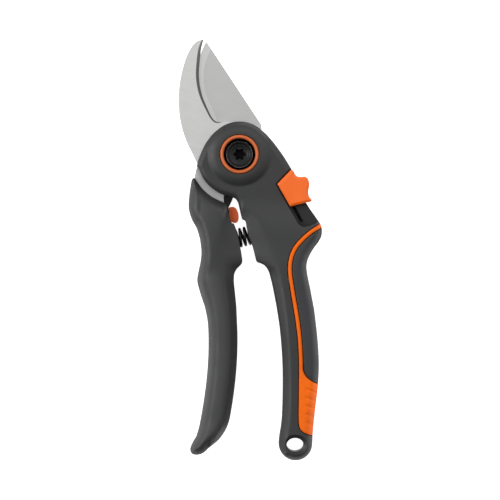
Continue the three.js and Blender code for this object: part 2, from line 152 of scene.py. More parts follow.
def offset(line, distance):
    """An open line moved sideways, to its left for a positive distance."""
    along = np.gradient(line, axis=0)
    along /= np.linalg.norm(along, axis=1)[:, None]
    return line + distance * np.column_stack([-along[:, 1], along[:, 0]])


def offset_closed(line, distance):
    """A closed outline, run clockwise or anticlockwise, grown outwards."""
    along = np.roll(line, -1, axis=0) - np.roll(line, 1, axis=0)
    along /= np.linalg.norm(along, axis=1)[:, None]
    x, y = line.T
    area = np.sum(x * np.roll(y, -1) - y * np.roll(x, -1))
    out = np.column_stack([along[:, 1], -along[:, 0]]) * (1 if area > 0 else -1)
    return line + distance * out


def mesh_object(name, verts, faces):
    mesh = bpy.data.meshes.new(name)
    mesh.from_pydata([tuple(map(float, v)) for v in verts], [], [tuple(map(int, f)) for f in faces])
    mesh.update()
    obj = bpy.data.objects.new(name, mesh)
    bpy.context.scene.collection.objects.link(obj)
    return obj


def cleaned(obj, merge=False, split_caps=False):
    """Turns every face outwards, once points that meet are merged or faces with many corners are split."""
    bm = bmesh.new()
    bm.from_mesh(obj.data)
    if merge:
        bmesh.ops.remove_doubles(bm, verts=bm.verts, dist=1e-4)
        bmesh.ops.dissolve_degenerate(bm, edges=bm.edges, dist=1e-5)
    if split_caps:
        bmesh.ops.triangulate(bm, faces=[f for f in bm.faces if len(f.verts) > 4])
    bmesh.ops.recalc_face_normals(bm, faces=bm.faces)
    bm.to_mesh(obj.data)
    bm.free()
    return obj


def prism(line, bottom, top):
    """A closed outline pulled straight up."""
    n = len(line)
    verts = [(x, y, bottom) for x, y in line] + [(x, y, top) for x, y in line]
    sides = [(i, (i + 1) % n, (i + 1) % n + n, i + n) for i in range(n)]
    obj = mesh_object("prism", verts, [*sides, tuple(range(n))[::-1], tuple(range(n, 2 * n))])
    return cleaned(obj, split_caps=True)


def through(line):
    """An outline pulled right through the shears."""
    return prism(line, -PAST, THICKNESS + PAST)


def block(low_x, low_y, high_x, high_y, bottom, top):
    return prism([(low_x, low_y), (high_x, low_y), (high_x, high_y), (low_x, high_y)], bottom, top)


def slide_bar(start, end, width, sideways=0.0, low=0.0, high=THICKNESS + 2):
    """A bar along the lock's slide direction, measured from the lock pin."""
    across = Vector((-SLIDE.y, SLIDE.x, 0))
    corners = []
    for along, side in ((start, -1), (end, -1), (end, 1), (start, 1)):
        p = PIN_AT + SLIDE * along + across * (sideways + side * width / 2)
        corners.append((p.x, p.y))
    return prism(corners, low, high)


def rings(name, sections):
    """A skin over a row of rings, each a list of points, with a cap at both ends."""
    n = len(sections[0])
    verts = [p for ring in sections for p in ring]
    faces = []
    for k in range(len(sections) - 1):
        for i in range(n):
            j = (i + 1) % n
            faces.append((k * n + i, k * n + j, (k + 1) * n + j, (k + 1) * n + i))
    last = (len(sections) - 1) * n
    faces += [tuple(range(n))[::-1], tuple(range(last, last + n))]
    return cleaned(mesh_object(name, verts, faces))


def turned(profile, name="turned", sides=96, centre=(0, 0)):
    """A profile of (radius, z) rows turned about an upright axis; it runs from axis to axis or is closed."""
    profile = [(max(r, 0), z) for r, z in profile]
    on_axis = profile[0][0] < 1e-6
    verts = []
    for k in range(sides):
        angle = 2 * math.pi * k / sides
        for r, z in profile:
            verts.append((centre[0] + r * math.cos(angle), centre[1] + r * math.sin(angle), z))
    n = len(profile)
    faces = []
    for k in range(sides):
        after = (k + 1) % sides
        for i in range(n - 1 if on_axis else n):
            j = (i + 1) % n
            faces.append((k * n + i, after * n + i, after * n + j, k * n + j))
    return cleaned(mesh_object(name, verts, faces), merge=True)


def disc(radius, bottom, top, sides=96):
    return turned([(0, bottom), (radius, bottom), (radius, top), (0, top)], "cutter", sides)


def sweep(line, section):
    """Carries section(t), closed rows of (sideways, z), along a flat line; sideways is to the line's left."""
    along = np.gradient(line, axis=0)
    along /= np.linalg.norm(along, axis=1)[:, None]
    left = np.column_stack([-along[:, 1], along[:, 0]])
    sections = []
    for k, (p, d) in enumerate(zip(line, left)):
        rows = section(k / (len(line) - 1))
        sections.append([(p[0] + s * d[0], p[1] + s * d[1], z) for s, z in rows])
    return rings("cutter", sections)


def distance_to(line, x, y, closed=True):
    """Distance from each x, y to the nearest point of a line."""
    a, b = (line, np.roll(line, -1, axis=0)) if closed else (line[:-1], line[1:])
    best = np.full(x.shape, np.inf)
    for (ax, ay), (dx, dy) in zip(a, b - a):
        length = max(dx**2 + dy**2, 1e-9)
        t = np.clip(((x - ax) * dx + (y - ay) * dy) / length, 0, 1)
        best = np.minimum(best, np.hypot(x - ax - t * dx, y - ay - t * dy))
    return best


def inside(line, x, y):
    """True where a point lies within a closed outline."""
    found = np.zeros(x.shape, bool)
    for (ax, ay), (bx, by) in zip(line, np.roll(line, -1, axis=0)):
        if ay == by:
            continue
        crosses = ((ay > y) != (by > y)) & (x < (bx - ax) * (y - ay) / (by - ay) + ax)
        found ^= crosses
    return found


def relief(name, line, height, base, spacing=0.55, margin=1.2):
    """A slab over the outline and a little more, flat at base, with height(x, y, depth) on its far face.

    depth is the distance in from the outline, negative outside. A prism cuts the slab to shape.
    """
    low, high = line.min(0) - margin, line.max(0) + margin
    nx, ny = (int(s / spacing) + 2 for s in high - low)
    gx, gy = np.meshgrid(np.linspace(low[0], high[0], nx), np.linspace(low[1], high[1], ny))
    depth = distance_to(line, gx, gy)
    depth = np.where(inside(line, gx, gy), depth, -depth)
    gz = height(gx, gy, depth)
    top = np.column_stack([gx.ravel(), gy.ravel(), gz.ravel()])
    border = [*range(nx), *range(2 * nx - 1, nx * ny, nx), *range(nx * ny - 2, nx * (ny - 1) - 1, -1)]
    border += [*range(nx * (ny - 2), 0, -nx)]
    cell = np.arange(nx * ny).reshape(ny, nx)
    quads = np.stack([cell[:-1, :-1], cell[:-1, 1:], cell[1:, 1:], cell[1:, :-1]], -1).reshape(-1, 4)
    foot = top[border].copy()
    foot[:, 2] = base
    first = nx * ny
    n = len(border)
    walls = [(border[i], border[(i + 1) % n], first + (i + 1) % n, first + i) for i in range(n)]
    bottom = [tuple(range(first + n - 1, first - 1, -1))]
    obj = mesh_object(name, np.vstack([top, foot]), [*map(tuple, quads), *walls, *bottom])
    return cleaned(obj, split_caps=True)


def apply_modifiers(obj):
    depsgraph = bpy.context.evaluated_depsgraph_get()
    made = bpy.data.meshes.new_from_object(obj.evaluated_get(depsgraph))
    obj.modifiers.clear()
    old, obj.data = obj.data, made
    bpy.data.meshes.remove(old)
    return obj


def combine(obj, operation, *others):
    """Cuts or joins with the other objects, which are used up."""
    for other in others:
        modifier = obj.modifiers.new(operation, "BOOLEAN")
        modifier.operation = operation
        modifier.solver = "MANIFOLD"
        modifier.material_mode = "TRANSFER"
        modifier.object = other
        apply_modifiers(obj)
        bpy.data.objects.remove(other)
    return obj


def cut(obj, *others):
    return combine(obj, "DIFFERENCE", *others)


def keep(obj, *others):
    return combine(obj, "INTERSECT", *others)


def join(obj, *others):
    return combine(obj, "UNION", *others)


def coloured(material, *objects):
    """Gives shapes their material before they are combined, so that each cut keeps its cutter's material."""
    for obj in objects:
        obj.data.materials.append(material)


def bevelled(obj, width, segments=2):
    modifier = obj.modifiers.new("edges", "BEVEL")
    modifier.width = width
    modifier.segments = segments
    modifier.limit_method = "ANGLE"
    modifier.angle_limit = math.radians(40)
    return apply_modifiers(obj)


# In degrees: an edge that turns by more than this stays crisp.
MOULDED_SHARP, TURNED_SHARP, BLADE_SHARP, COIL_SHARP = 32, 25, 20, 60


def piece(obj, name, body, node, material, sharp=MOULDED_SHARP):
    """Finishes a shape made in millimetres: metres, smooth shading, material, and its place in the frame."""
    obj.name = name
    obj.data.name = name
    obj.data.transform(Matrix.Scale(MM, 4))
    obj.data.shade_smooth()
    obj.data.set_sharp_from_angle(angle=math.radians(sharp))
    if not obj.data.materials:
        obj.data.materials.append(material)
    else:
        obj.data.materials[0] = material
    if body:
        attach(obj, body)
    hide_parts(node)


# ---- materials


def set_range(node, low, high, to_low, to_high):
    for socket, number in zip(("From Min", "From Max", "To Min", "To Max"), (low, high, to_low, to_high)):
        node.inputs[socket].default_value = number


class Look:
    """A procedural material, built node by node."""

    def __init__(self, name, colour, roughness, metallic=0.0, specular=0.5):
        self.material = bpy.data.materials.new(name)
        self.material.use_nodes = True
        self.nodes = self.material.node_tree.nodes
        self.links = self.material.node_tree.links
        self.shader = self.nodes["Principled BSDF"]
        self.shader.inputs["Base Color"].default_value = (*colour, 1)
        self.shader.inputs["Roughness"].default_value = roughness
        self.shader.inputs["Metallic"].default_value = metallic
        self.shader.inputs["Specular IOR Level"].default_value = specular
        self.place = self.nodes.new("ShaderNodeTexCoord").outputs["Object"]
        self.colour = colour
        self.height = None

    def stretched(self, scale, turn):
        """The object's coordinates, turned about Z and then scaled along each axis."""
        turned_place = self.nodes.new("ShaderNodeMapping")
        turned_place.inputs["Rotation"].default_value = (0, 0, turn)
        self.links.new(self.place, turned_place.inputs["Vector"])
        scaled = self.nodes.new("ShaderNodeMapping")
        scaled.inputs["Scale"].default_value = scale
        self.links.new(turned_place.outputs["Vector"], scaled.inputs["Vector"])
        return scaled.outputs["Vector"]

    def noise(self, scale, detail=3.0, place=None, roughness=0.55):
        node = self.nodes.new("ShaderNodeTexNoise")
        node.inputs["Scale"].default_value = scale
        node.inputs["Detail"].default_value = detail
        node.inputs["Roughness"].default_value = roughness
        self.links.new(place or self.place, node.inputs["Vector"])
        return node.outputs["Fac"]

    def spread(self, value, low, high, to_low, to_high):
        node = self.nodes.new("ShaderNodeMapRange")
        set_range(node, low, high, to_low, to_high)
        self.links.new(value, node.inputs["Value"])
        return node.outputs["Result"]

    def tint(self, value, low, high, dark, light):
        """Colour from dark to light as value goes from low to high; both are shares of the base colour."""
        ramp = self.nodes.new("ShaderNodeValToRGB")
        ramp.color_ramp.elements[0].position = low
        ramp.color_ramp.elements[1].position = high
        ramp.color_ramp.elements[0].color = (*(min(1, c * dark) for c in self.colour), 1)
        ramp.color_ramp.elements[1].color = (*(min(1, c * light) for c in self.colour), 1)
        self.links.new(value, ramp.inputs["Fac"])
        self.links.new(ramp.outputs["Color"], self.shader.inputs["Base Color"])

    def rough(self, value, low, high, smooth, coarse):
        self.links.new(self.spread(value, low, high, smooth, coarse), self.shader.inputs["Roughness"])

    def bump(self, value, distance, strength=1.0):
        node = self.nodes.new("ShaderNodeBump")
        node.inputs["Strength"].default_value = strength
        node.inputs["Distance"].default_value = distance * MM
        self.links.new(value, node.inputs["Height"])
        if self.height:
            self.links.new(self.height, node.inputs["Normal"])
        self.height = node.outputs["Normal"]
        self.links.new(self.height, self.shader.inputs["Normal"])


def moulded(name, colour, roughness, grain=1700, depth=0.02, specular=0.5):
    """Moulded plastic or rubber: a fine spark-eroded grain, slight blotches of sheen, faint colour drift."""
    look = Look(name, colour, roughness, specular=specular)
    look.bump(look.noise(grain, 2), depth)
    look.bump(look.noise(160, 2), 0.03, 0.35)
    look.rough(look.noise(90, 4), 0.3, 0.7, roughness - 0.06, roughness + 0.06)
    look.tint(look.noise(45, 4), 0.3, 0.7, 0.92, 1.08)
    return look.material


def brushed(name, colour, roughness, turn, contrast=0.06):
    """Ground steel: fine lines across the blade, faint cloudy patches and the odd deeper scratch."""
    line_depth = 0.006
    look = Look(name, colour, roughness, metallic=1.0)
    lines = look.noise(1, 3, look.stretched((60, 4200, 60), turn), 0.6)
    broad = look.noise(1, 4, look.stretched((120, 900, 120), turn), 0.7)
    scratches = look.noise(1, 2, look.stretched((90, 9000, 90), turn + 0.12))
    look.bump(lines, line_depth)
    look.bump(scratches, line_depth * 0.6, 0.7)
    look.rough(broad, 0.3, 0.7, roughness - 0.03, roughness + 0.03)
    look.tint(broad, 0.3, 0.7, 1 - contrast, 1 + contrast)
    return look.material


def plated(name, colour, roughness, metallic=1.0, specular=0.5):
    """Plated or blackened steel on small fittings: fine pitting and uneven sheen."""
    look = Look(name, colour, roughness, metallic, specular)
    look.bump(look.noise(2600, 2), 0.008)
    look.rough(look.noise(350, 4), 0.3, 0.7, roughness - 0.08, roughness + 0.1)
    look.tint(look.noise(220, 3), 0.3, 0.7, 0.85, 1.15)
    return look.material


casing = moulded("casing_plastic", (0.024, 0.0245, 0.025), 0.5, depth=0.018)
soft_grip = moulded("soft_grip_rubber", (0.030, 0.031, 0.034), 0.62, grain=1100, depth=0.03)
stripe_orange = moulded("orange_trim_rubber", (0.96, 0.15, 0.002), 0.6, grain=1400, specular=0.2)
slider_orange = moulded("orange_slider_plastic", (0.97, 0.15, 0.006), 0.42, grain=1900, depth=0.01)
ring_orange = moulded("orange_ring_plastic", (0.64, 0.14, 0.035), 0.38, grain=1900, depth=0.008)
buffer_orange = moulded("orange_buffer_rubber", (0.58, 0.09, 0.018), 0.6, specular=0.3)
# Black nylon for the spring seats; on the left handle's back arm the same near-black is painted shade, darker
# than the casing there.
nylon_and_painted_shade = moulded("black_nylon_and_painted_shade", (0.012, 0.012, 0.012), 0.5)
# Near-black painted shade: grooves, slots, sockets and gaps take this colour so they look shadowed deep
# inside.
groove_painted_shade = moulded("groove_plastic_painted_shade", (0.004, 0.004, 0.004), 0.8, specular=0.06)
# Darker than the casing: painted shade on the lock track's recessed floor.
recess_painted_shade = moulded("recess_plastic_painted_shade", (0.019, 0.019, 0.019), 0.6, specular=0.3)
counter_steel = brushed("counter_blade_steel", (0.71, 0.71, 0.70), 0.40, math.radians(20), contrast=0.03)
# A darker copy of the blade steel: painted shade on the cutting blade, whose tang lies in shade under the
# casing.
cutting_steel_painted_shade = brushed("cutting_blade_steel", (0.59, 0.59, 0.585), 0.40, math.radians(3), contrast=0.015)
# The lighter copy of the blade steel on the cutting edge: painted highlight for the light caught by the edge
# bevel.
edge_steel_painted_highlight = brushed("cutting_edge_steel_painted_highlight", (0.71, 0.71, 0.70), 0.37, math.radians(3), contrast=0.015)
# Dark steel on the counter-blade's ground bevel: painted shade, the dark look of a bevel turned away from the
# light.
bevel_steel_painted_shade = brushed("ground_bevel_steel_painted_shade", (0.13, 0.13, 0.13), 0.30, math.radians(70))
black_steel = plated("blackened_steel", (0.008, 0.0085, 0.009), 0.3, 0.3, 0.42)
plain_steel = plated("plated_steel", (0.45, 0.45, 0.45), 0.34)
bronze = plated("sintered_bronze", (0.48, 0.30, 0.12), 0.45)


# ---- outlines, x and y in millimetres

RIGHT_HANDLE = outline(
    arc(0, 0, 17.2, 50, 130),
    curve([[-12.6, 12], [-14.9, 9.6], [-18, 5.2], [-20.6, -0.4], [-22, -4.4]]),
    curve([
        [-22.4, -6.1], *arc(0, 0, 22.8, 198, 260, 6).tolist(), [-2.2, -23.2], [-0.9, -25], [-0.2, -27.6],
        [0.5, -30.8],
    ]),
    curve([
        [1.2, -33.4], [1.7, -34.2], [2.7, -34.5], [3.3, -35.6], [3.7, -38.2], [4.9, -43.1], [6.9, -48.4],
        [8.3, -54],
    ]),
    curve([
        [8.8, -55.9], [9.5, -56.6], [11, -57.1], [13.2, -58.3], [15.2, -61.2], [16.3, -65],
        [17.1, -68.2], [19.2, -78.8],
    ]),
    curve([[19.2, -78.8], [21.1, -91.4], [22.4, -108], [22.6, -124], [22, -139.7], [20.7, -148.5]]),
    arc(29.3, -151.4, 8.8, 171, 361, 0.6),
    curve([
        [38.2, -150.2], [38.4, -146], [39.6, -134], [41.1, -121], [41.6, -110], [40.9, -96.5],
        [39.2, -81.5],
    ]),
    curve([
        [39.2, -81.5], [36.9, -69.5], [35.4, -62], [35.1, -58.4], [35.8, -55], [38.4, -49.9],
        [41.4, -45.8],
    ]),
    curve([[41.4, -45.8], [42.9, -42.8], [43.2, -40.2], [42.9, -37.8], [41.6, -35.2], [39.6, -32.3]]),
    straight([[39.6, -32.3], [36.8, -28.4], [34.4, -24.6], [31, -16.2], [27.2, -7.6]]),
    curve([[27.2, -7.6], [23.2, -1.1], [18.4, 5.5], [14.2, 10.4], [11.4, 12.9]]),
)
LEFT_HANDLE = outline(
    curve([
        [-25.2, -13.7], [-24.6, -12.6], [-23.6, -12.4], *arc(0, 0, 26.5, 210, 249, 6).tolist(),
        [-8, -25.4], [-6.7, -26.4],
    ]),
    curve([
        [-6.7, -26.4], [-5.9, -28], [-4.4, -32], [-3.2, -35.6], [-1.9, -39], [-0.6, -43.6], [0.5, -49.2],
        [1.4, -54.6],
    ]),
    curve([
        [1.5, -56], [1.1, -57.4], [-0.2, -58.8], [-1.6, -60.3], [-2.7, -62.6], [-2.95, -66.2],
        [-2.4, -72], [-1.6, -80],
    ]),
    curve([
        [-1.6, -80], [-1, -97.5], [-1.7, -114], [-4, -132.3], [-6.2, -142], [-10.5, -149],
        [-16.2, -153.8],
    ]),
    curve([
        [-16.2, -153.8], [-18.9, -156.3], [-22, -157.4], [-25, -156.8], [-25.9, -154.6], [-24.6, -151],
        [-22.8, -148.1],
    ]),
    curve([
        [-22.8, -148.1], [-21.3, -143], [-18.5, -127.1], [-17, -114.5], [-16.3, -101], [-16.7, -88],
        [-18.2, -80],
    ]),
    curve([
        [-18.2, -80], [-20.7, -72.5], [-22.2, -66.2], [-21.6, -61.5], [-20.4, -56], [-20, -51],
        [-20.7, -44.5],
    ]),
    curve([[-20.7, -44.5], [-22.4, -38.9], [-25, -34], [-26.6, -28.4], [-26.4, -22], [-25.2, -13.7]]),
)

# The jaws. The counter-blade's inner edge and the cutting blade's edge run from throat to tip.
COUNTER_INNER = curve([
    [-8, 17.1], [-10.6, 16.9], [-12.6, 17.5], [-14.3, 19.2], [-16.8, 24], [-19.9, 32], [-21.3, 41],
    [-20.8, 50], [-19.9, 56.5], [-18.9, 60],
], 0.6)
COUNTER_OUTER = curve([
    [-19.2, 60.25], [-21.4, 59.8], [-24.1, 57.8], [-27.7, 51.5], [-30.3, 43], [-31.7, 34.6],
    [-31.9, 26.2], [-31.1, 17.9], [-28.3, 8], [-24.5, 0], [-21, -6.5], [-15, -13], [-7, -17],
], 0.8)
COUNTER_BLADE = outline(
    COUNTER_OUTER,
    curve([[2, -20.5], [9, -27.5], [14.1, -36], [16.6, -44], [18.7, -54], [21, -66], [22.5, -77]]),
    arc(25.7, -78, 3.2, 180, 360),
    curve([[28.3, -66], [26.6, -54], [24.9, -44], [22.5, -36], [18.6, -26], [16, -17]]),
    arc(0, 0, 15.4, -38, 85),
    curve([[-1, 15.8], [-4, 16.8], [-7, 17.1]]),
    COUNTER_INNER,
)
CUTTING_EDGE = curve([
    [-15.4, 12], [-15.8, 17.4], [-17.8, 22], [-21.9, 32.5], [-22.8, 40], [-22.4, 46.5], [-20.9, 51.6],
    [-18.7, 57], [-17.6, 59.1],
], 0.6)
CUTTING_BLADE = outline(
    straight([[-17.2, 59], [-16.3, 57.7], [11.4, 15.7]], 4),
    arc(0, 0, 16.3, 44, -14),
    arc(0, 0, 15, -16, -106),
    curve([
        [-7.6, -18.4], [-8.3, -22], [-8.4, -27], [-11, -33], [-13.3, -38.5], [-13.4, -46], [-12.8, -56],
        [-11, -70], [-10.6, -83],
    ]),
    arc(-13, -84, 2.4, 0, -180),
    curve([
        [-16.4, -70], [-18, -58], [-18, -50], [-19, -42], [-21.8, -35], [-24.2, -28], [-24.2, -20],
        [-23.5, -11.5], [-22.4, -6.8], [-19.5, 0], [-16.6, 6], [-15.5, 11],
    ]),
    CUTTING_EDGE,
)
BACK_ARM = outline(
    arc(0, 0, 17, -98, 180),
    curve([[-17.4, -1.6], [-20, -4.6], [-22.2, -8.4], [-23.4, -12.5], [-24, -20], [-23.6, -30]]),
    straight([[-23, -31], [-9, -31]]),
    curve([[-7, -29.2], [-5.7, -27.6], [-4.7, -25.6], [-3.4, -22.6], [-2, -18]]),
)
STOP_BUFFER = outline(
    curve([
        [-6.2, -28.7], [-5.6, -27.9], [-4.7, -27.6], [-3.4, -27.5], [-2.2, -28], [-1, -29.8],
        [-0.45, -32.4], [-0.7, -34.6], [-1.4, -35.6], [-2.6, -35.9], [-4.4, -35.2], [-5.6, -32.2],
        [-6.2, -28.7],
    ], 0.4),
)
SLIDER = outline(
    straight([[20, -15.4], [26.8, -8.3]], 0.8),
    curve([
        [27, -8.1], [28, -8.6], [29.2, -10.8], [30.6, -11.8], [32.4, -11.9], [34, -11.7], [35.4, -12.4],
        [36.2, -14], [36.5, -16.3], [36, -18.8], [36, -20.8], [36.6, -22.6], [37.8, -23.9],
        [37.6, -24.6], [35, -25.2],
    ], 0.5),
    straight([[35, -25.2], [26.7, -27.3]], 0.8),
    straight([[26.3, -26.9], [20.1, -16]], 0.8),
)
TRACK = outline(
    straight([[19.2, -15.4], [27, -7.2], [48, -7.2], [48, -33.1]]),
    curve([[42.4, -34.4], [39.4, -36], [36.6, -37.2], [34, -37.7], [32, -37.2], [30.8, -36]]),
    straight([[30.8, -36], [25.8, -27.2]]),
)
STRIPE_CENTRE = curve([
    [46, -35.6], [42, -37.7], [37, -41], [33, -44.5], [29.5, -48.5], [27.5, -52.5], [26.5, -57],
    [26.4, -62], [27.5, -70], [30, -85], [31.3, -95], [32, -106], [32.15, -116],
], 0.7)
PAD_TOP = [[32.6, -110], [33.2, -113], [34.5, -115.9], [37, -118.2], [40, -119.9], [48, -122]]
PAD_BOTTOM = [
    [48, -148.4], [38.4, -147.2], [35.5, -146.3], [33, -145], [31.5, -143], [31, -139.5], [31, -128],
    [31.15, -116],
]


# ---- handle surfaces


def smooth_step(value, start, end):
    t = np.clip((value - start) / (end - start), 0, 1)
    return t * t * (3 - 2 * t)


def fall(depth, width, drop):
    """How far a rounded edge has fallen away, from drop at the outline to 0 at a depth of width."""
    t = np.clip(1 - depth / width, 0, 1.35)
    return drop * t**2.1


def chamfer(across, width, drop):
    """A flat chamfer: drop at across 0, nothing past width, with a softened crest."""
    softness = 0.09
    t = 1 - across / width
    return drop * softness * np.logaddexp(0, np.clip(t, -6, 1.3) / softness)


# How far across each handle its inner edge and the crest of the chamfer lie, as rows of (y, x).
RIGHT_EDGE = np.array([
    [-165, 22], [-149, 20.7], [-139.7, 22], [-124, 22.6], [-108, 22.4], [-91.4, 21.1], [-78.8, 19.2],
    [-68.2, 17.1], [-61.2, 15.2], [-57.6, 11], [-54, 8.4], [-43.1, 4.9], [-35, 3], [-28, 0], [-24, -1],
    [20, -1],
])
RIGHT_CREST = np.array([
    [-165, 25], [-149, 24.8], [-139.7, 26.1], [-124, 26.7], [-108, 26.3], [-91.4, 25.2], [-78.8, 23.8],
    [-68.2, 22], [-61.2, 20.6], [-57.6, 19.8], [-52, 17.6], [-46, 15.6], [-38, 12], [-31, 7.4], [-25, 2],
    [20, 2],
])
LEFT_EDGE = np.array([
    [-160, -16], [-149, -10.5], [-142, -6.2], [-132, -4], [-114, -1.7], [-97.5, -1], [-80, -1.6],
    [-66, -2.9], [-60.3, -1.6], [-56, 1.5], [-49, 0.5], [-43.6, -0.6], [-35.6, -3.2], [-28, -5.9],
    [0, -7],
])
LEFT_CREST = np.array([
    [-160, -19], [-149, -13.8], [-142, -9.8], [-132, -7.8], [-114, -5.8], [-97.5, -5.3], [-80, -6.1],
    [-66, -8.2], [-60.3, -9.3], [-56, -10.6], [-49, -11.4], [-43.6, -10.6], [-35.6, -8.4], [-28, -7.2],
    [0, -8],
])


def level(table, y):
    """A value read off a short table of (y, value) rows, eased between its rows."""
    line = curve(table, 0.7)
    return np.interp(y, line[:, 0], line[:, 1])


def inner_chamfer(x, y, edge, crest, side, drop):
    """The chamfer that faces the other handle, between its crest and the handle's inner edge."""
    at_edge, at_crest = level(edge, y), level(crest, y)
    return chamfer((x - at_edge) * side, np.abs(at_crest - at_edge), drop)


def deeper(*drops):
    """The deepest of several drops, eased where two are alike, so that they run together."""
    return sum(np.maximum(drop, 0) ** 4 for drop in drops) ** 0.25


def near_spring(y):
    """1 where the handles house the spring, 0 along the grips."""
    return smooth_step(y, -64, -52)


def edges(depth, inner_side, outer_width, outer_drop, inner_drop=3.0):
    """The rounded edges: wide ones on a handle's outer side, tight ones on the side of the other handle."""
    return fall(depth, outer_width, outer_drop) * (1 - inner_side) + fall(depth, 1.6, inner_drop) * inner_side


def right_outer_width(y):
    return 4.6 - 1.6 * smooth_step(y, -40, -20)


def right_inner_side(x, y):
    return smooth_step(x - level(RIGHT_CREST, y), 1, -1) * smooth_step(y, -24, -32)


def right_chamfer(x, y, drop):
    return inner_chamfer(x, y, RIGHT_EDGE, RIGHT_CREST, 1, drop) * smooth_step(y, -24, -34)


def left_inner_side(x, y):
    return smooth_step(x - level(LEFT_CREST, y), -1, 1) * smooth_step(y, -22, -28)


def left_chamfer(x, y, drop):
    return inner_chamfer(x, y, LEFT_EDGE, LEFT_CREST, -1, drop) * smooth_step(y, -25, -33)


def right_front(x, y, depth):
    """The crown sinks towards the head, and the boss round the pivot stands on it."""
    crown = THICKNESS - 0.4 - 1.1 * smooth_step(y, -60, -40) - 2.2 * smooth_step(y, -44, -22)
    crown -= 0.0035 * np.clip(x - 31 + 0.02 * (y + 90), -30, 30) ** 2 * smooth_step(y, -30, -60)
    spring = near_spring(y)
    end = smooth_step(y, -147, -156)
    outer_drop = 5.2 - 3.4 * smooth_step(y, -46, -22) - 1.8 * end
    rounded_edge = edges(depth, right_inner_side(x, y), right_outer_width(y) - end, outer_drop, 3.0 - spring)
    boss = 1 - np.clip((np.hypot(x, y) - 11) / 5.6, 0, 1) ** 2
    return crown - deeper(right_chamfer(x, y, 3.1 - 1.1 * spring), rounded_edge) + 2.1 * boss


def left_front(x, y, depth):
    spring = near_spring(y)
    crown = THICKNESS - 0.2 - 0.9 * smooth_step(y, -34, -14)
    crown -= (0.018 - 0.01 * spring) * np.clip(level(LEFT_CREST, y) + 2.5 - x, 0, 16) ** 2
    rounded_edge = edges(depth, left_inner_side(x, y), 5.5, 4.2, 3.0 - spring)
    return crown - deeper(left_chamfer(x, y, 4.6 - 1.6 * spring), rounded_edge)


def right_back(x, y, depth):
    return deeper(right_chamfer(x, y, 3.1), edges(depth, right_inner_side(x, y), right_outer_width(y), 4.8))


def left_back(x, y, depth):
    inner_side = left_inner_side(x, y) * smooth_step(y, -154, -146)
    return deeper(left_chamfer(x, y, 3.4), edges(depth, inner_side, 5, 5))


def turn_z_to(direction):
    return direction.to_track_quat("Z", "Y").to_matrix().to_4x4()


def spring_pocket():
    half = SPRING_LENGTH / 2 + 1.8
    start = SPRING_MIDDLE - SPRING_AXIS * half
    obj = disc(POCKET_RADIUS, 0, 2 * half, sides=64)
    obj.data.transform(Matrix.Translation(start) @ turn_z_to(SPRING_AXIS))
    return obj


def hang_hole(grow=0.0, flare=0.0):
    """The oval hole as a cutter; grow and flare, at its mouths, are shares of its half widths."""
    x, y, half_x, half_y = HANG_HOLE
    waist = 1 + grow
    mouth = waist + flare
    profile = [
        (0, -1), (mouth, -1), (mouth, 1 - flare), (waist, 2), (waist, THICKNESS - 2),
        (mouth, THICKNESS - 1 + flare), (mouth, THICKNESS + 1), (0, THICKNESS + 1),
    ]
    obj = turned(profile, "cutter", 64)
    obj.data.transform(Matrix.Translation((x, y, 0)) @ Matrix.Diagonal((half_x, half_y, 1, 1)))
    return obj


def trim_region(grow):
    """The outlines of the stripe and the pad, grown sideways."""
    half = STRIPE_HALF + grow
    band = outline(offset(STRIPE_CENTRE, half), offset(STRIPE_CENTRE, -half)[::-1])
    pad = outline(offset(curve(PAD_TOP, 0.6), grow), offset(curve(PAD_BOTTOM, 0.6), grow))
    return band, pad


def insert_region(grow):
    """The soft insert between the stripe and the handle's outer edge."""
    inner = offset(STRIPE_CENTRE[STRIPE_CENTRE[:, 1] > -110], STRIPE_HALF + INLAY_GROOVE - grow)
    corner = [[33.9, -112.6], [35.1, -115], [37.4, -117.2], [40.3, -118.9], [48, -120.8]]
    lower = offset(curve(corner, 0.6), grow)
    return outline(inner, lower, straight([[48, -119], [48, -37]], 3))


# ---- blades


def counter_blade():
    obj = bevelled(prism(COUNTER_BLADE, COUNTER_BACK, COUNTER_FRONT), 0.3)
    bore = disc(BOLT_SHANK + 0.3, 0, THICKNESS, sides=48)

    def ground(t):
        """The bevel ground on the inner edge; it runs out at the throat and narrows at the tip."""
        width = (0.9 + 0.65 * smooth_step(t, 0.1, 0.6)) * smooth_step(t, 0, 0.1)
        width *= 1 - 0.35 * smooth_step(t, 0.85, 1)
        depth = 0.05 + 1.85 * smooth_step(t, 0, 0.06)
        top = COUNTER_FRONT + 0.4
        return [
            (width, top), (width, COUNTER_FRONT), (-0.35, COUNTER_FRONT - depth * 1.1),
            (-0.9, COUNTER_FRONT - depth), (-0.9, top),
        ]

    bevel = sweep(COUNTER_INNER, ground)
    # The bevel's cut faces take the dark steel colour, painted shade along the inner edge.
    coloured(bevel_steel_painted_shade, bevel)
    coloured(counter_steel, obj)
    cut(obj, bevel, bore)
    piece(
        obj, "counter_blade_ground", "right_handle", "counter_blade", counter_steel,
        BLADE_SHARP,
    )


